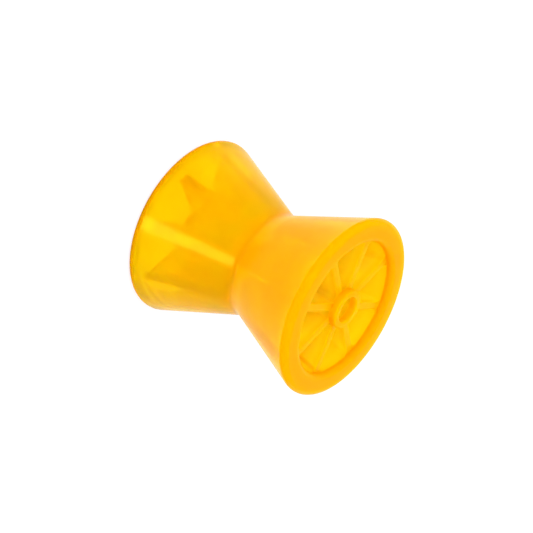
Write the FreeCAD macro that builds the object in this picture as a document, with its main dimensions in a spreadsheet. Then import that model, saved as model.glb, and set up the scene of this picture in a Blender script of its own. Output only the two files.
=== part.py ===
"""Boat trailer roller: a one-piece hourglass moulding that turns on a plain shaft.

Each end is a thick rim and a hub joined by spokes. The pockets between the spokes are deep and
narrow with the cone, and only the middle of the roller is solid. The roller stands on one end: +Z runs along the bore, and the origin is the centre of the
lower end plane. Sizes are in millimetres and degrees.
"""
import FreeCAD, Part
import math
import os
import Sketcher

# Driving sizes: name, value, what it measures
SIZES = [
    ("length", 101.6, "from end plane to end plane, four inches"),
    ("end_radius", 48.1, "where the flank line meets the end plane, before the rim is rounded"),
    ("waist_radius", 27.2, "where the two flank lines meet, before the waist is rounded"),
    ("waist_rounding", 6.0, "radius of the hollow where the two cones meet"),
    ("rim_rounding", 3.0, "radius of the outer edge of each rim"),
    ("shaft_diameter", 12.7, "the shaft that the roller turns on, half an inch"),
    ("shaft_clearance", 0.25, "gap all round the shaft"),
    ("bore_rounding", 0.6, "radius of the bore's edge"),
    ("hub_wall", 3.4, "from the bore to the outside of the hub"),
    ("hub_rounding", 0.8, "radius of the hub's outer edge"),
    ("lip_rounding", 2.8, "radius of each rim's inner edge"),
    ("spoke_count", 8, "spokes in each end"),
    ("spoke_thickness", 4.0, "at the spoke's front edge"),
    ("spoke_setback", 3.5, "from the end plane back to the spokes' front edges"),
    ("mouth_radius", 35.1, "inner edge of each rim, where the pockets open"),
    ("middle_web", 15.6, "solid middle between the pocket floors of the two ends"),
    ("pocket_wall", 4.4, "across the axis, from a pocket's floor to the flank"),
    ("draft_angle", 1.5, "lean of the spokes and the hub, so that the mould draws out"),
    ("outer_corner", 2.5, "radius of the pocket corners at the rim"),
    ("inner_corner", 1.8, "radius of the pocket corners at the hub"),
    ("floor_rounding", 1.2, "radius round each pocket floor"),
]

# Sizes that follow from the driving ones
HALF_LENGTH = "Sizes.length / 2"
BORE_RADIUS = "(Sizes.shaft_diameter / 2 + Sizes.shaft_clearance)"
HUB_RADIUS = f"({BORE_RADIUS} + Sizes.hub_wall)"
FLANK_SLOPE = f"((Sizes.end_radius - Sizes.waist_radius) / ({HALF_LENGTH}))"
SPOKE_LEVEL = f"({HALF_LENGTH} - Sizes.spoke_setback)"
FLOOR_LEVEL = "(Sizes.middle_web / 2)"
FLOOR_RADIUS = f"(Sizes.waist_radius + {FLANK_SLOPE} * {FLOOR_LEVEL} - Sizes.pocket_wall)"
# What the draft adds to the hub's radius and to half a spoke, from the mouth down to the floor
DRAFT_GROWTH = f"(tan(Sizes.draft_angle * 1 deg) * ({SPOKE_LEVEL} - {FLOOR_LEVEL}))"
HALF_SPOKE = "(Sizes.spoke_thickness / 2)"
HALF_SECTOR = "180 deg / Sizes.spoke_count"
MEETING_LAND = "0.05"
# One outline of a pocket each: sketch name, height, outer radius, hub radius, half a spoke
POCKET_MOUTH = ("PocketMouth", SPOKE_LEVEL, "Sizes.mouth_radius", HUB_RADIUS, HALF_SPOKE)
POCKET_FLOOR = (
    "PocketFloor",
    FLOOR_LEVEL,
    FLOOR_RADIUS,
    f"({HUB_RADIUS} + {DRAFT_GROWTH})",
    f"({HALF_SPOKE} + {DRAFT_GROWTH})",
)
# The lip is a round edge above the spokes, so it stops short of their level
LIP_SHARE = "0.95"
LIP_RADIUS = f"min(Sizes.lip_rounding; {LIP_SHARE} * Sizes.spoke_setback)"

SAME_PLACE = 1e-4


def make_sheet(doc):
    """Put the driving sizes in a spreadsheet, one row each"""
    sheet = doc.addObject("Spreadsheet::Sheet", "Sizes")
    for row, (name, value, meaning) in enumerate(SIZES, start=1):
        sheet.set(f"A{row}", name)
        sheet.set(f"B{row}", str(value))
        sheet.setAlias(f"B{row}", name)
        sheet.set(f"C{row}", meaning)
    doc.recompute()
    return sheet


def size(sheet, expression):
    """The number that an expression on the sheet comes to"""
    value = sheet.evalExpression(expression)
    return float(getattr(value, "Value", value))


def origin_plane(body, role):
    """The body's own origin plane or axis with this role"""
    return next(item for item in body.Origin.OriginFeatures if item.Role == role)


def add_sketch(body, name, role, level=None):
    """A sketch on one of the body's origin planes, raised by level"""
    sketch = body.newObject("Sketcher::SketchObject", name)
    sketch.AttachmentSupport = [(origin_plane(body, role), "")]
    sketch.MapMode = "FlatFace"
    if level:
        sketch.setExpression("AttachmentOffset.Base.z", level)
    return sketch


def add_size(sketch, name, kind, places, expression, sheet):
    """A named constraint whose value comes from the sheet"""
    unit = math.radians(1) if kind == "Angle" else 1
    index = sketch.addConstraint(Sketcher.Constraint(kind, *places, size(sheet, expression) * unit))
    sketch.renameConstraint(index, name)
    sketch.setExpression(f"Constraints.{name}", expression)


def draw_section(body, sheet):
    """Half of the moulding's section, from the waist up to the end plane"""
    bore, hub = size(sheet, BORE_RADIUS), size(sheet, HUB_RADIUS)
    mouth, end = size(sheet, "Sizes.mouth_radius"), size(sheet, "Sizes.end_radius")
    top, spoke_level = size(sheet, HALF_LENGTH), size(sheet, SPOKE_LEVEL)
    corners = [
        (bore, 0),
        (size(sheet, "Sizes.waist_radius"), 0),
        (end, top),
        (mouth, top),
        (mouth, spoke_level),
        (hub, spoke_level),
        (hub, top),
        (bore, top),
    ]
    middle, flank, rim, mouth_wall, spoke_front, hub_side, hub_end, bore_side = range(len(corners))
    origin, start, finish = (-1, 1), 1, 2
    sketch = add_sketch(body, "Section", "XZ_Plane")
    for index, corner in enumerate(corners):
        following = corners[(index + 1) % len(corners)]
        line = Part.LineSegment(FreeCAD.Vector(*corner, 0), FreeCAD.Vector(*following, 0))
        sketch.addGeometry(line, False)
    for index in range(len(corners)):
        joined = (index, finish, (index + 1) % len(corners), start)
        sketch.addConstraint(Sketcher.Constraint("Coincident", *joined))
    for line in (middle, rim, spoke_front, hub_end):
        sketch.addConstraint(Sketcher.Constraint("Horizontal", line))
    for line in (mouth_wall, hub_side, bore_side):
        sketch.addConstraint(Sketcher.Constraint("Vertical", line))
    sketch.addConstraint(Sketcher.Constraint("PointOnObject", middle, start, -1))
    across = [
        ("waist", flank, "Sizes.waist_radius"),
        ("rim_edge", rim, "Sizes.end_radius"),
        ("mouth", mouth_wall, "Sizes.mouth_radius"),
        ("hub", hub_side, HUB_RADIUS),
        ("bore", bore_side, BORE_RADIUS),
    ]
    for name, line, expression in across:
        add_size(sketch, name, "DistanceX", (*origin, line, start), expression, sheet)
    add_size(sketch, "end_plane", "DistanceY", (*origin, rim, start), HALF_LENGTH, sheet)
    add_size(sketch, "hub_height", "DistanceY", (*origin, hub_end, start), HALF_LENGTH, sheet)
    add_size(sketch, "spoke_height", "DistanceY", (*origin, spoke_front, start), SPOKE_LEVEL, sheet)
    return sketch


def arc_between(centre, first, last):
    """The arc that runs anticlockwise from first to last round centre"""
    circle = Part.Circle(centre, FreeCAD.Vector(0, 0, 1), (first - centre).Length)
    angles = [math.atan2(point.y - centre.y, point.x - centre.x) for point in (first, last)]
    return Part.ArcOfCircle(circle, *angles)


def draw_pocket(body, sheet, outline):
    """A pocket's outline at one height, between two spokes and centred on the X axis"""
    name, level, outer_radius, hub_radius, spoke_side = outline
    # Thick spokes meet each other before they reach the hub, and the pocket then ends where they meet
    spokes_meet = f"(({spoke_side} + Sizes.inner_corner) / sin({HALF_SECTOR}) - Sizes.inner_corner)"
    inner_radius = f"max({hub_radius}; {spokes_meet} + {MEETING_LAND})"
    outer, inner = size(sheet, outer_radius), size(sheet, inner_radius)
    outer_corner, inner_corner = (size(sheet, f"Sizes.{place}_corner") for place in ("outer", "inner"))
    half_spoke, half_sector = size(sheet, spoke_side), math.radians(size(sheet, HALF_SECTOR))
    along = FreeCAD.Vector(math.cos(half_sector), math.sin(half_sector), 0)
    inward = FreeCAD.Vector(math.sin(half_sector), -math.cos(half_sector), 0)

    def corner(reach, rounding):
        """Centre of a corner's rounding, and the point where it meets the spoke"""
        aside = half_spoke + rounding
        run = math.sqrt(reach**2 - aside**2)
        return along * run + inward * aside, along * run + inward * half_spoke

    def below(point):
        return FreeCAD.Vector(point.x, -point.y, 0)

    outer_centre, outer_side = corner(outer - outer_corner, outer_corner)
    inner_centre, inner_side = corner(inner + inner_corner, inner_corner)
    outer_point = outer_centre * (outer / outer_centre.Length)
    inner_point = inner_centre * (inner / inner_centre.Length)
    axis = FreeCAD.Vector(0, 0, 0)

    # Clockwise from the inner end of the upper spoke side, each edge with its two ends
    sketch = add_sketch(body, name, "XY_Plane", level)
    first, last = 1, 2
    edges = [
        (Part.LineSegment(inner_side, outer_side), first, last),
        (arc_between(outer_centre, outer_point, outer_side), last, first),
        (arc_between(axis, below(outer_point), outer_point), last, first),
        (arc_between(below(outer_centre), below(outer_side), below(outer_point)), last, first),
        (Part.LineSegment(below(outer_side), below(inner_side)), first, last),
        (arc_between(below(inner_centre), below(inner_point), below(inner_side)), last, first),
        (arc_between(axis, below(inner_point), inner_point), first, last),
        (arc_between(inner_centre, inner_side, inner_point), last, first),
    ]
    for edge, _, _ in edges:
        sketch.addGeometry(edge, False)
    for index, (_, _, leaving) in enumerate(edges):
        following = (index + 1) % len(edges)
        joined = (index, leaving, following, edges[following][1])
        sketch.addConstraint(Sketcher.Constraint("Tangent", *joined))
    upper_side, lower_side, rim_arc, hub_arc = 0, 4, 2, 6
    rounded_corners = [
        ((1, 3), "rim_corner", "Sizes.outer_corner"),
        ((5, 7), "hub_corner", "Sizes.inner_corner"),
    ]
    for arc in (rim_arc, hub_arc):
        sketch.addConstraint(Sketcher.Constraint("Coincident", arc, 3, -1, 1))
    add_size(sketch, "rim_side", "Radius", (rim_arc,), outer_radius, sheet)
    add_size(sketch, "hub_side", "Radius", (hub_arc,), inner_radius, sheet)
    for corners, place, rounding in rounded_corners:
        add_size(sketch, place, "Radius", (corners[0],), rounding, sheet)
        sketch.addConstraint(Sketcher.Constraint("Equal", *corners))
    for side, place in ((upper_side, "upper"), (lower_side, "lower")):
        add_size(sketch, f"{place}_spoke", "Distance", (-1, 1, side), spoke_side, sheet)
    add_size(sketch, "upper_lean", "Angle", (-1, 1, upper_side, 1), HALF_SECTOR, sheet)
    add_size(sketch, "lower_lean", "Angle", (lower_side, 2, -1, 1), HALF_SECTOR, sheet)
    return sketch


def edge_names(feature, wanted):
    """Names of the feature's edges that wanted accepts"""
    return [f"Edge{number}" for number, edge in enumerate(feature.Shape.Edges, start=1) if wanted(edge)]


def is_circle(edge, radius, height):
    """True for an edge round the axis with this radius and height"""
    curve = edge.Curve
    if not isinstance(curve, Part.Circle):
        return False
    centre = curve.Center
    off_axis = math.hypot(centre.x, centre.y)
    return max(off_axis, abs(curve.Radius - radius), abs(centre.z - height)) < SAME_PLACE


def is_level(edge, height):
    """True for an edge that lies flat at this height"""
    box = edge.BoundBox
    return abs(box.ZMin - height) < SAME_PLACE and abs(box.ZMax - height) < SAME_PLACE


def round_edges(body, name, base, names, radius):
    """Round the named edges of the feature below"""
    if not names:
        raise RuntimeError(f"{name} found no edges")
    fillet = body.newObject("PartDesign::Fillet", name)
    fillet.Base = (base, names)
    fillet.setExpression("Radius", radius)
    body.Document.recompute()
    return fillet


def check_volume(feature, before, grows):
    """Stop if the feature didn't change the solid the way it should"""
    change = feature.Shape.Volume - before
    if change * (1 if grows else -1) <= SAME_PLACE:
        raise RuntimeError(f"{feature.Label} changed the volume by {change:.3f}")
    return feature.Shape.Volume


def make_roller(doc, sheet):
    """The whole moulding: half of it with one end, then its mirror image"""
    body = doc.addObject("PartDesign::Body", "Roller")
    body.Label = "roller"
    top = size(sheet, HALF_LENGTH)

    section = draw_section(body, sheet)
    turned = body.newObject("PartDesign::Revolution", "HalfMoulding")
    turned.Profile = section
    turned.ReferenceAxis = (section, ["V_Axis"])
    doc.recompute()
    volume = check_volume(turned, 0, grows=True)

    mouth, floor = (draw_pocket(body, sheet, outline) for outline in (POCKET_MOUTH, POCKET_FLOOR))
    pocket = body.newObject("PartDesign::SubtractiveLoft", "FirstPocket")
    pocket.Profile = mouth
    pocket.Sections = [floor]
    pocket.Ruled = True
    doc.recompute()
    volume = check_volume(pocket, volume, grows=False)

    pockets = body.newObject("PartDesign::PolarPattern", "Pockets")
    pockets.Originals = [pocket]
    pockets.Axis = (origin_plane(body, "Z_Axis"), [""])
    pockets.setExpression("Occurrences", "Sizes.spoke_count")
    body.Tip = pockets
    doc.recompute()
    check_volume(pockets, volume, grows=False)

    floor_height = size(sheet, FLOOR_LEVEL)
    floor_edges = edge_names(pockets, lambda edge: is_level(edge, floor_height))
    last = round_edges(body, "FloorRounding", pockets, floor_edges, "Sizes.floor_rounding")
    roundings = [
        ("RimRounding", "Sizes.end_radius", "Sizes.rim_rounding"),
        ("LipRounding", "Sizes.mouth_radius", LIP_RADIUS),
        ("HubRounding", HUB_RADIUS, "Sizes.hub_rounding"),
        ("BoreRounding", BORE_RADIUS, "Sizes.bore_rounding"),
    ]
    for name, edge_radius, rounding in roundings:
        radius = size(sheet, edge_radius)
        names = edge_names(last, lambda edge, radius=radius: is_circle(edge, radius, top))
        last = round_edges(body, name, last, names, rounding)
    half_volume = last.Shape.Volume

    mirrored = body.newObject("PartDesign::Mirrored", "BothEnds")
    mirrored.TransformMode = "Whole shape"
    mirrored.MirrorPlane = (origin_plane(body, "XY_Plane"), [""])
    body.Tip = mirrored
    doc.recompute()
    volume = check_volume(mirrored, half_volume, grows=True)

    waist = size(sheet, "Sizes.waist_radius")
    waist_edges = edge_names(mirrored, lambda edge: is_circle(edge, waist, 0))
    rounded = round_edges(body, "WaistRounding", mirrored, waist_edges, "Sizes.waist_rounding")
    check_volume(rounded, volume, grows=True)
    body.Tip = rounded
    body.setExpression("Placement.Base.z", HALF_LENGTH)
    doc.recompute()
    return body


def check_document(doc):
    """Stop if any object of the document failed"""
    for item in doc.Objects:
        if "Invalid" in item.State or "Error" in item.State:
            raise RuntimeError(f"{item.Label} failed: {item.State}")


def check_roller(body, sheet):
    """Stop unless the roller is one sound solid that stands on the origin, as long as the sheet says"""
    shape = body.Shape
    if shape.isNull() or not shape.isValid() or len(shape.Solids) != 1:
        raise RuntimeError("The roller isn't one sound solid")
    box, length = shape.optimalBoundingBox(), size(sheet, "Sizes.length")
    if abs(box.ZMin) > SAME_PLACE or abs(box.ZMax - length) > SAME_PLACE:
        raise RuntimeError("The roller doesn't stand on the origin")
    print(f"roller: {shape.Volume / 1000:.2f} cm3, {len(shape.Faces)} faces")
    print(f"widest {box.XLength:.2f} mm, bore radius {size(sheet, BORE_RADIUS):.3f} mm")
    print(f"hub radius {size(sheet, HUB_RADIUS):.3f} mm, floor radius {size(sheet, FLOOR_RADIUS):.3f} mm")


def main():
    doc = FreeCAD.newDocument("BoatTrailerRoller")
    sheet = make_sheet(doc)
    body = make_roller(doc, sheet)
    check_document(doc)
    check_roller(body, sheet)
    os.makedirs("parts", exist_ok=True)
    body.Shape.exportStep(os.path.join("parts", f"{body.Label}.step"))


main()
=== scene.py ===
"""Looks of the boat trailer roller: a glossy, translucent amber moulding on a white studio floor.

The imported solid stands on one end, its bore along Z. The shown moulding is built here from the
same sizes, with smooth roundings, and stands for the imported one. Lengths are in metres, and the
angles among the sizes are in degrees.
"""
import math

import bmesh
import bpy
from mathutils import Matrix, Vector


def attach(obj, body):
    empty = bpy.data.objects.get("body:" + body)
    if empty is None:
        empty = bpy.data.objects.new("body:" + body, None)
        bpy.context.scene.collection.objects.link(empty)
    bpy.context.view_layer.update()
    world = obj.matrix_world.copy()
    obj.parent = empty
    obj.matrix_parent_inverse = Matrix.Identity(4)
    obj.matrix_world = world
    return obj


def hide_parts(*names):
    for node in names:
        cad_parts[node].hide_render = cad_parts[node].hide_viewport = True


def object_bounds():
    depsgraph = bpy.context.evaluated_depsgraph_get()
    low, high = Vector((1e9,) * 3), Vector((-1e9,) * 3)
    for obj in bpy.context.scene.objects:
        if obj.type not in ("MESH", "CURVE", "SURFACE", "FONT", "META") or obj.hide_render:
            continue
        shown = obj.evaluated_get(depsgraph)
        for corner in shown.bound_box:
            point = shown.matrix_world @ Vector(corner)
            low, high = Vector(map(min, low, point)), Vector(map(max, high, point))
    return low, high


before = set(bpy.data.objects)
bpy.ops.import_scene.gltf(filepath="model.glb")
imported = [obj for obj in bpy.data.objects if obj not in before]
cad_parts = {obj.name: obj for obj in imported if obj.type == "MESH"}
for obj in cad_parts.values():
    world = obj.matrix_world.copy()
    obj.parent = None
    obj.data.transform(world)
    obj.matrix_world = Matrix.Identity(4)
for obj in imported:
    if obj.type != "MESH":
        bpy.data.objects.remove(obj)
cad_low, cad_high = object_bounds()

MM = 0.001

# The moulding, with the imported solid's sizes
LENGTH = cad_high.z - cad_low.z
END_RADIUS = 48.1 * MM
WAIST_RADIUS = 27.2 * MM
WAIST_ROUNDING = 6.0 * MM
RIM_ROUNDING = 3.0 * MM
LIP_ROUNDING = 2.8 * MM
MOUTH_RADIUS = 35.1 * MM
BORE_RADIUS = 6.6 * MM
BORE_ROUNDING = 0.6 * MM
HUB_RADIUS = 10.0 * MM
HUB_ROUNDING = 0.8 * MM
SPOKE_COUNT = 8
SPOKE_THICKNESS = 4.0 * MM
SPOKE_SETBACK = 3.5 * MM
SPOKE_EDGE = 0.5 * MM
MIDDLE_WEB = 15.6 * MM
POCKET_WALL = 4.4 * MM
DRAFT_ANGLE = 1.5
OUTER_CORNER = 2.5 * MM
INNER_CORNER = 1.8 * MM
FLOOR_ROUNDING = 1.2 * MM

# How finely the moulding's curves are divided
ARC_STEPS = 18
LAND_STEPS = 6
PROFILE_STEPS = 10
CORNER_STEPS = 8
SIDE_STEPS = 6
EDGE_STEPS = 4
WALL_STEPS = 4
SAME_POINT = 0.001 * MM
SHARP_ANGLE = 35

# The photograph's camera: where it stands round the roller, and what it takes in
VIEW_AZIMUTH = 7.26
VIEW_ELEVATION = 29.85
VIEW_ROLL = 118.7
VIEW_DISTANCE = 857.7 * MM
LENS = 117.5
SENSOR = 36.0
IMAGE_SIZE = 533
ROLLER_CENTRE_PIXEL = (267.2, 265.8)

# The plastic: its colours, with painted light in the thin walls among the spokes and painted shade
# near the ends, how it absorbs and scatters light, and its gloss
BODY_COLOURS = (0.35, (1.0, 0.37, 0.0, 1)), (0.65, (1.0, 0.41, 0.0, 1))
# Painted shade: a deeper orange near the ends, damping the brightness of rims and lips
END_PAINTED_SHADE = (1.0, 0.265, 0.0, 1)
# Painted light: a paler yellow in the thin walls among the spokes, standing in for light that
# passes through them
THIN_WALL_PAINTED_LIGHT = (1.0, 0.55, 0.01, 1)
CLEAR_COLOUR = (1.0, 0.97, 0.85, 1)
CLEAR_SHARE = 0.3
REFRACTION = 1.48
ABSORPTION_COLOUR = (1.0, 0.975, 0.0, 1)
ABSORPTION_DENSITY = 600.0
SCATTER_REACH = 30 * MM
SCATTER_COLOURS = (1.0, 0.9, 0.08)
GLOSS_TINT = (1.0, 0.6, 0.05, 1)
CLOUDY_GLOSS = 0.02
CLEAR_GLOSS = 0.1
ROUGHNESS = (0.2, 0.28)
CLEAR_ROUGHNESS = 0.6

# Where the painted light in the thin walls and the painted shade near the ends lie, by depth in
# from the flank and by depth behind the end plane; near the ends the plastic is also wholly cloudy
PAINTED_LIGHT_FROM_FLANK = (8 * MM, 15 * MM)
PAINTED_LIGHT_FROM_END = (3.6 * MM, 8 * MM)
END_SHADE_AND_CLOUDY_FROM_END = (4.5 * MM, 3 * MM)

# Its unevenness, as features to a metre
CLOUD_SCALE = 45.0
GLOSS_SCALE = 160.0
RIPPLE_SCALE = 70.0
GRAIN_SCALE = 900.0
GRAIN_HEIGHT = 0.05
BUMP_STRENGTH = 0.12
BUMP_HEIGHT = 1 * MM

# The studio; the floor lies just under the roller, so that no two faces coincide
WHITE = (1.0, 1.0, 1.0, 1)
PAPER = (0.85, 0.85, 0.85, 1)
PAPER_GLOW = 1.08
GLOW_SHARE = 0.75
FLOOR_SIZE = 6.0
FLOOR_DROP = 0.1 * MM

ROLLER_CENTRE = Vector((0, 0, LENGTH / 2))
SECTOR = 2 * math.pi / SPOKE_COUNT
POCKET_LENGTH = (LENGTH - MIDDLE_WEB) / 2 - SPOKE_SETBACK
DRAFT_GROWTH = math.tan(math.radians(DRAFT_ANGLE)) * POCKET_LENGTH
FLOOR_RADIUS = WAIST_RADIUS + (END_RADIUS - WAIST_RADIUS) * MIDDLE_WEB / LENGTH - POCKET_WALL


def polar(radius, angle):
    """The point at this radius and angle round the Z axis"""
    return Vector((radius * math.cos(angle), radius * math.sin(angle)))


def rotated(point, angle):
    """The point turned anticlockwise round the Z axis by this angle"""
    across, along = polar(1, angle), polar(1, angle + math.pi / 2)
    return across * point.x + along * point.y


def arc_points(centre, start, finish, steps):
    """Points along the shorter arc from start to finish round centre"""
    first, last = start - centre, finish - centre
    angle = math.atan2(first.y, first.x)
    sweep = math.atan2(first.x * last.y - first.y * last.x, first.dot(last))
    return [centre + polar(first.length, angle + sweep * step / steps) for step in range(steps + 1)]


def spread(first, last, steps):
    """Values from first to last, evenly spaced"""
    return [first + (last - first) * step / steps for step in range(steps + 1)]


def line_points(start, finish, steps):
    """Points from start to finish, evenly spaced"""
    return [start.lerp(finish, part) for part in spread(0, 1, steps)]


def rounded_line(corners, steps):
    """Points along a line of (point, rounding) corners, with an arc at each rounding"""
    points = [corners[0][0]]
    for before, (corner, radius), after in zip(corners, corners[1:], corners[2:]):
        back, ahead = (before[0] - corner).normalized(), (after[0] - corner).normalized()
        half_angle = back.angle(ahead) / 2
        reach = radius / math.tan(half_angle)
        centre = corner + (back + ahead).normalized() * (radius / math.sin(half_angle))
        points += arc_points(centre, corner + back * reach, corner + ahead * reach, steps)
    return [*points, corners[-1][0]]


def outer_profile():
    """Radius and height from the upper mouth over the rims and the waist to the lower mouth"""
    spokes_top, end = LENGTH - SPOKE_SETBACK, LENGTH
    upper = [
        (Vector((MOUTH_RADIUS, spokes_top)), 0),
        (Vector((MOUTH_RADIUS, end)), LIP_ROUNDING),
        (Vector((END_RADIUS, end)), RIM_ROUNDING),
    ]
    waist = (Vector((WAIST_RADIUS, LENGTH / 2)), WAIST_ROUNDING)
    lower = [(Vector((point.x, LENGTH - point.y)), radius) for point, radius in reversed(upper)]
    return rounded_line([*upper, waist, *lower], PROFILE_STEPS)


def inner_profile():
    """Radius and height from the upper spokes over the hubs and through the bore, down again"""
    spokes_top, end = LENGTH - SPOKE_SETBACK, LENGTH
    upper = [
        (Vector((HUB_RADIUS, spokes_top)), 0),
        (Vector((HUB_RADIUS, end)), HUB_ROUNDING),
        (Vector((BORE_RADIUS, end)), BORE_ROUNDING),
    ]
    lower = [(Vector((point.x, LENGTH - point.y)), radius) for point, radius in reversed(upper)]
    return rounded_line([*upper, *lower], PROFILE_STEPS)


class Outline:
    """A pocket's outline at one height, centred on the X axis

    Its points are (place, direction into the pocket, share of the spoke's edge rounding). The side
    is the upper half without the arcs along rim and hub, from the rim to the hub.
    """

    def __init__(self, rim_radius, hub_radius, half_spoke):
        along = polar(1, SECTOR / 2)
        across = Vector((along.y, -along.x))

        def corner(reach, rounding):
            """Centre of a corner's rounding, and the point where it meets the spoke"""
            aside = half_spoke + rounding
            run = math.sqrt(reach**2 - aside**2)
            return along * run + across * aside, along * run + across * half_spoke

        outer_centre, outer_side = corner(rim_radius - OUTER_CORNER, OUTER_CORNER)
        inner_centre, inner_side = corner(hub_radius + INNER_CORNER, INNER_CORNER)
        outer_point = outer_centre.normalized() * rim_radius
        inner_point = inner_centre.normalized() * hub_radius
        self.rim_angle = math.atan2(outer_point.y, outer_point.x)
        self.hub_angle = math.atan2(inner_point.y, inner_point.x)
        places = []
        for place in arc_points(outer_centre, outer_point, outer_side, CORNER_STEPS):
            places.append((place, (outer_centre - place).normalized()))
        for place in line_points(outer_side, inner_side, SIDE_STEPS)[1:-1]:
            places.append((place, across))
        for place in arc_points(inner_centre, inner_side, inner_point, CORNER_STEPS):
            places.append((place, (inner_centre - place).normalized()))
        last = len(places) - 1
        self.side = []
        for index, (place, inward) in enumerate(places):
            share = min(1, index / CORNER_STEPS, (last - index) / CORNER_STEPS)
            self.side.append((place, inward, share))

        rim_angles = spread(-self.rim_angle, self.rim_angle, ARC_STEPS)
        hub_angles = spread(self.hub_angle, -self.hub_angle, ARC_STEPS)
        rim = [polar(rim_radius, angle) for angle in rim_angles]
        hub = [polar(hub_radius, angle) for angle in hub_angles]
        rim_part = [(place, -place.normalized(), 0) for place in rim[:-1]]
        hub_part = [(place, place.normalized(), 0) for place in hub[1:-1]]
        flip = Matrix.Diagonal((1, -1))
        lower = []
        for place, inward, share in reversed(self.side):
            lower.append((flip @ place, flip @ inward, share))
        self.whole = rim_part + self.side + hub_part + lower[:-1]


class Pocket:
    """One pocket, centred on the X axis, as rows of (place, depth under the spokes' fronts)"""

    def __init__(self):
        self.mouth = Outline(MOUTH_RADIUS, HUB_RADIUS, SPOKE_THICKNESS / 2)
        half_spoke = SPOKE_THICKNESS / 2 + DRAFT_GROWTH
        self.base = Outline(FLOOR_RADIUS, HUB_RADIUS + DRAFT_GROWTH, half_spoke)

    def walls(self):
        """From the spokes' fronts down to the floor, rounded at the top and at the foot"""
        columns = [wall_column(*ends) for ends in zip(self.mouth.whole, self.base.whole)]
        return list(zip(*columns))

    def floor(self):
        """The level floor inside the walls' last row"""
        side = [wall_column(*ends)[-1][0] for ends in zip(self.mouth.side, self.base.side)]
        return arcs_across(side, 0, ARC_STEPS, POCKET_LENGTH)

    def front(self):
        """The front of the spoke on the pocket's upper side"""
        side = [wall_column(*ends)[0][0] for ends in zip(self.mouth.side, self.base.side)]
        return arcs_across(side, SECTOR / 2, LAND_STEPS, 0)


def wall_column(mouth, base):
    """Points of (place, depth) from a point of the mouth's outline down the wall to the floor"""
    place, inward, share = mouth
    base_place, base_inward, _ = base
    lean = math.atan2((base_place - place).dot((inward + base_inward).normalized()), POCKET_LENGTH)
    quarter = math.pi / 2

    def wall_point(offset, depth):
        """The wall's point at this depth, moved into the pocket by offset"""
        part = depth / POCKET_LENGTH
        return place.lerp(base_place, part) + inward.lerp(base_inward, part) * offset, depth

    edge = []
    for angle in spread(0, quarter, EDGE_STEPS):
        offset, depth = -SPOKE_EDGE * (1 - math.sin(angle)), SPOKE_EDGE * (1 - math.cos(angle))
        edge.append(wall_point(offset * share, depth * share))
    foot = []
    for angle in spread(lean, quarter, EDGE_STEPS):
        depth = POCKET_LENGTH - FLOOR_ROUNDING * (1 - math.sin(angle))
        centre = (POCKET_LENGTH - FLOOR_ROUNDING) * math.tan(lean) + FLOOR_ROUNDING / math.cos(lean)
        offset = centre - FLOOR_ROUNDING * math.cos(angle) - depth * math.tan(lean)
        foot.append(wall_point(offset, depth))
    wall = [wall_point(0, depth) for depth in spread(edge[-1][1], foot[0][1], WALL_STEPS)[1:-1]]
    return edge + wall + foot


def arcs_across(side, middle, steps, depth):
    """Rows of (place, depth) on arcs from each place, past the angle in the middle, to its image"""
    rows = []
    for place in side:
        angle = math.atan2(place.y, place.x)
        arc = spread(angle, 2 * middle - angle, steps)
        rows.append([(polar(place.length, item), depth) for item in arc])
    return rows


def ring_angles(pocket_angle):
    """Angles all round the roller that match the pockets' arcs and the spokes between them"""
    one = spread(-pocket_angle, pocket_angle, ARC_STEPS)[:-1]
    one += spread(pocket_angle, SECTOR - pocket_angle, LAND_STEPS)[:-1]
    return [angle + SECTOR * index for index in range(SPOKE_COUNT) for angle in one]


def add_lathe(mesh, profile, angles):
    """The surface that a profile of (radius, height) sweeps round the axis"""
    rows = []
    for point in profile:
        places = (polar(point.x, angle) for angle in angles)
        rows.append([mesh.verts.new((place.x, place.y, point.y)) for place in places])
    join_rows(mesh, rows, closed=True)


def join_rows(mesh, rows, closed):
    """Faces between rows of points, each row closed on itself or open"""
    for row, following in zip(rows, rows[1:]):
        for index in range(len(row) if closed else len(row) - 1):
            after = (index + 1) % len(row)
            mesh.faces.new((row[index], row[after], following[after], following[index]))


def add_turned(mesh, rows, turn, upper, closed):
    """A pocket's rows, turned round the axis and put in the upper end or the lower"""
    made = []
    for row in rows:
        points = []
        for place, depth in row:
            turned = rotated(place, turn)
            below_top = SPOKE_SETBACK + depth
            height = LENGTH - below_top if upper else below_top
            points.append(mesh.verts.new((turned.x, turned.y, height)))
        made.append(points)
    join_rows(mesh, made, closed)


def put_in_scene(mesh, name):
    """An object made from this mesh"""
    data = bpy.data.meshes.new(name)
    mesh.to_mesh(data)
    mesh.free()
    made = bpy.data.objects.new(name, data)
    bpy.context.scene.collection.objects.link(made)
    return made


def make_moulding():
    """The whole moulding as one closed mesh"""
    pocket = Pocket()
    mesh = bmesh.new()
    add_lathe(mesh, outer_profile(), ring_angles(pocket.mouth.rim_angle))
    add_lathe(mesh, inner_profile(), ring_angles(pocket.mouth.hub_angle))
    for index in range(SPOKE_COUNT):
        for upper in (True, False):
            add_turned(mesh, pocket.walls(), SECTOR * index, upper, closed=True)
            add_turned(mesh, pocket.floor(), SECTOR * index, upper, closed=False)
            add_turned(mesh, pocket.front(), SECTOR * index, upper, closed=False)
    bmesh.ops.remove_doubles(mesh, verts=mesh.verts, dist=SAME_POINT)
    bmesh.ops.recalc_face_normals(mesh, faces=mesh.faces)
    for face in mesh.faces:
        face.smooth = True
    for edge in mesh.edges:
        edge.smooth = edge.calc_face_angle() < math.radians(SHARP_ANGLE)
    moulding = put_in_scene(mesh, "moulding")
    even = moulding.modifiers.new("even_shading", "WEIGHTED_NORMAL")
    even.keep_sharp = True
    return moulding


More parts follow.
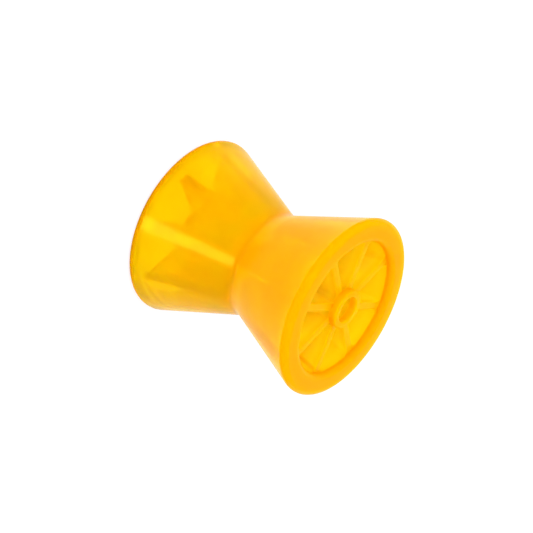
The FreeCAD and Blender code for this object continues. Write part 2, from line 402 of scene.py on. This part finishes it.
class Nodes:
    """A short way to write a node tree"""

    def __init__(self, tree):
        self.tree = tree
        tree.nodes.clear()

    def add(self, kind, inputs=(), **settings):
        """A node with these settings, its inputs set to values or linked from sockets"""
        node = self.tree.nodes.new(kind)
        for name, value in settings.items():
            setattr(node, name, value)
        for name, value in dict(inputs).items():
            if isinstance(value, bpy.types.NodeSocket):
                self.tree.links.new(value, node.inputs[name])
            else:
                node.inputs[name].default_value = value
        return node

    def math(self, operation, *values):
        """The output of a Math node on these values or sockets"""
        node = self.add("ShaderNodeMath", dict(enumerate(values)), operation=operation)
        return node.outputs[0]

    def mix(self, share, first, second):
        """The colour between two colours"""
        node = self.add("ShaderNodeMix", {"Factor": share}, data_type="RGBA")
        for name, colour in (("A", first), ("B", second)):
            socket = next(item for item in node.inputs if item.name == name and item.type == "RGBA")
            if isinstance(colour, bpy.types.NodeSocket):
                self.tree.links.new(colour, socket)
            else:
                socket.default_value = colour
        return next(item for item in node.outputs if item.type == "RGBA")

    def noise(self, place, scale):
        """The output of a Noise Texture at this place"""
        return self.add("ShaderNodeTexNoise", {"Vector": place, "Scale": scale}).outputs["Fac"]

    def ease(self, value, limits):
        """From 0 to 1 as the value goes from the first limit to the second"""
        inputs = {"Value": value, "From Min": limits[0], "From Max": limits[1]}
        node = self.add("ShaderNodeMapRange", inputs, interpolation_type="SMOOTHSTEP")
        return node.outputs["Result"]

    def remap(self, value, limits):
        """A value from 0 to 1, spread from the first limit to the second"""
        inputs = {"Value": value, "To Min": limits[0], "To Max": limits[1]}
        return self.add("ShaderNodeMapRange", inputs).outputs["Result"]


def painted_light_and_end_masks(nodes, place):
    """Masks of the thin walls deep among the spokes, where a paler yellow is painted as light
    passing through them, and of all that lies near an end, painted a deeper orange as shade and
    kept wholly cloudy
    """
    across = nodes.add("ShaderNodeVectorMath", {0: place, 1: (1, 1, 0)}, operation="MULTIPLY")
    length = nodes.add("ShaderNodeVectorMath", {0: across.outputs[0]}, operation="LENGTH")
    radius = length.outputs["Value"]
    height = nodes.add("ShaderNodeSeparateXYZ", {0: place}).outputs["Z"]
    from_middle = nodes.math("ABSOLUTE", nodes.math("SUBTRACT", height, LENGTH / 2))
    slope = (END_RADIUS - WAIST_RADIUS) / (LENGTH / 2)
    flank = nodes.math("MULTIPLY_ADD", from_middle, slope, WAIST_RADIUS)
    inside = nodes.math("SUBTRACT", flank, radius)
    depth = nodes.math("SUBTRACT", LENGTH / 2, from_middle)
    painted_light_among_spokes = nodes.ease(inside, PAINTED_LIGHT_FROM_FLANK)
    painted_light = nodes.math("MULTIPLY", painted_light_among_spokes, nodes.ease(depth, PAINTED_LIGHT_FROM_END))
    return painted_light, nodes.ease(depth, END_SHADE_AND_CLOUDY_FROM_END)


def make_amber():
    """Cloudy amber polyurethane: a part of the light goes through, and the rest scatters inside"""
    material = bpy.data.materials.new("amber_polyurethane")
    material.use_nodes = True
    nodes = Nodes(material.node_tree)
    place = nodes.add("ShaderNodeTexCoord").outputs["Object"]

    ramp = nodes.add("ShaderNodeValToRGB", {"Fac": nodes.noise(place, CLOUD_SCALE)})
    for element, (position, colour) in zip(ramp.color_ramp.elements, BODY_COLOURS):
        element.position = position
        element.color = colour
    painted_light, end = painted_light_and_end_masks(nodes, place)
    # The base colour holds painted light, a paler yellow in the thin walls, and painted shade, a
    # deeper orange near the ends, over the plastic's own uneven tone
    amber = nodes.mix(painted_light, nodes.mix(end, ramp.outputs["Color"], END_PAINTED_SHADE), THIN_WALL_PAINTED_LIGHT)

    roughness = nodes.remap(nodes.noise(place, GLOSS_SCALE), ROUGHNESS)
    ripples = nodes.noise(place, RIPPLE_SCALE)
    grain = nodes.math("MULTIPLY", nodes.noise(place, GRAIN_SCALE), GRAIN_HEIGHT)
    bump = nodes.add("ShaderNodeBump", {
        "Height": nodes.math("ADD", ripples, grain),
        "Strength": BUMP_STRENGTH,
        "Distance": BUMP_HEIGHT,
    })
    surface = {"Normal": bump.outputs["Normal"], "IOR": REFRACTION, "Specular Tint": GLOSS_TINT}
    cloudy = nodes.add("ShaderNodeBsdfPrincipled", surface | {
        "Base Color": amber,
        "Roughness": roughness,
        "Specular IOR Level": CLOUDY_GLOSS,
        "Subsurface Weight": 1.0,
        "Subsurface Radius": SCATTER_COLOURS,
        "Subsurface Scale": SCATTER_REACH,
    })
    clear = nodes.add("ShaderNodeBsdfPrincipled", surface | {
        "Base Color": CLEAR_COLOUR,
        "Roughness": nodes.math("MULTIPLY", roughness, CLEAR_ROUGHNESS),
        "Specular IOR Level": CLEAR_GLOSS,
        "Transmission Weight": 1.0,
    })
    # Light that leaves the plastic passes its skin, so that only light from outside scatters there
    leaving = nodes.add("ShaderNodeNewGeometry").outputs["Backfacing"]
    # Near the ends the same mask that paints shade also keeps the plastic wholly cloudy
    seen_through = nodes.math("MULTIPLY", nodes.math("SUBTRACT", 1.0, end), CLEAR_SHARE)
    share = nodes.math("MAXIMUM", seen_through, leaving)
    blend = nodes.add("ShaderNodeMixShader", {0: share, 1: cloudy.outputs[0], 2: clear.outputs[0]})
    absorption = {"Color": ABSORPTION_COLOUR, "Density": ABSORPTION_DENSITY}
    depth = nodes.add("ShaderNodeVolumeAbsorption", absorption)
    nodes.add("ShaderNodeOutputMaterial", {"Surface": blend.outputs[0], "Volume": depth.outputs[0]})
    return material


def direct_rays(nodes):
    """1 for rays that see a thing directly, through the plastic or in its gloss, 0 for others"""
    path = nodes.add("ShaderNodeLightPath").outputs
    seen = nodes.math("MAXIMUM", path["Is Camera Ray"], path["Is Transmission Ray"])
    return nodes.math("MAXIMUM", seen, path["Is Glossy Ray"])


def make_floor():
    """A pale floor that shows white, with only a faint shadow"""
    mesh = bmesh.new()
    bmesh.ops.create_grid(mesh, x_segments=1, y_segments=1, size=FLOOR_SIZE / 2)
    floor = put_in_scene(mesh, "floor")
    floor.location.z = -FLOOR_DROP
    material = bpy.data.materials.new("floor_white")
    material.use_nodes = True
    nodes = Nodes(material.node_tree)
    paper = nodes.add("ShaderNodeBsdfDiffuse", {"Color": PAPER})
    glow = nodes.add("ShaderNodeEmission", {"Color": WHITE, "Strength": PAPER_GLOW})
    share = nodes.math("MULTIPLY", direct_rays(nodes), GLOW_SHARE)
    blend = nodes.add("ShaderNodeMixShader", {0: share, 1: paper.outputs[0], 2: glow.outputs[0]})
    nodes.add("ShaderNodeOutputMaterial", {"Surface": blend.outputs[0]})
    floor.data.materials.append(material)


def make_world():
    """A plain white room"""
    world = bpy.data.worlds.new("studio")
    bpy.context.scene.world = world
    world.use_nodes = True
    nodes = Nodes(world.node_tree)
    background = nodes.add("ShaderNodeBackground", {"Color": WHITE})
    nodes.add("ShaderNodeOutputWorld", {"Surface": background.outputs[0]})


def view_axes():
    """The camera's right, up and forward directions"""
    azimuth, elevation = math.radians(VIEW_AZIMUTH), math.radians(VIEW_ELEVATION)
    roll = math.radians(VIEW_ROLL)
    level = math.cos(elevation)
    forward = Vector((-math.sin(azimuth) * level, math.cos(azimuth) * level, -math.sin(elevation)))
    flat_right = forward.cross(Vector((0, 0, 1))).normalized()
    flat_up = flat_right.cross(forward)
    right = flat_right * math.cos(roll) + flat_up * math.sin(roll)
    return right, right.cross(forward).normalized(), forward


def make_camera():
    """The photograph's camera: close, with a long lens, rolled so the upper end points right"""
    right, up, forward = view_axes()
    data = bpy.data.cameras.new("camera")
    data.lens = LENS
    data.sensor_width = SENSOR
    camera = bpy.data.objects.new("camera", data)
    bpy.context.scene.collection.objects.link(camera)
    pixel = SENSOR / LENS / IMAGE_SIZE * VIEW_DISTANCE
    aside = right * ((ROLLER_CENTRE_PIXEL[0] - IMAGE_SIZE / 2) * pixel)
    above = up * ((IMAGE_SIZE / 2 - ROLLER_CENTRE_PIXEL[1]) * pixel)
    turn = Matrix((right, up, -forward)).transposed().to_4x4()
    where = ROLLER_CENTRE - aside - above - forward * VIEW_DISTANCE
    camera.matrix_world = Matrix.Translation(where) @ turn
    bpy.context.scene.camera = camera


def add_lamp(name, azimuth, elevation, distance, size, power, colour, in_gloss):
    """A soft lamp that faces the roller, and shows only in its gloss or only in its colour"""
    data = bpy.data.lights.new(name, "AREA")
    data.shape = "RECTANGLE"
    data.size, data.size_y = size
    data.energy = power
    data.color = colour
    lamp = bpy.data.objects.new(name, data)
    bpy.context.scene.collection.objects.link(lamp)
    flat = math.cos(math.radians(elevation))
    where = polar(flat, math.radians(azimuth)).to_3d()
    where.z = math.sin(math.radians(elevation))
    lamp.location = ROLLER_CENTRE + where * distance
    lamp.rotation_euler = where.to_track_quat("Z", "Y").to_euler()
    lamp.visible_glossy = in_gloss
    lamp.visible_diffuse = not in_gloss


moulding = make_moulding()
moulding.data.materials.append(make_amber())
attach(moulding, "root")
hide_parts("roller")

make_floor()
make_world()
make_camera()
add_lamp(
    "band", azimuth=-58, elevation=11, distance=1.0, size=(0.28, 0.5), power=16,
    colour=(1, 0.9, 0.45), in_gloss=True,
)
add_lamp(
    "fill", azimuth=-100, elevation=50, distance=1.4, size=(1.4, 1.4), power=16,
    colour=(1, 1, 1), in_gloss=False,
)

bpy.context.scene.view_settings.view_transform = "Standard"
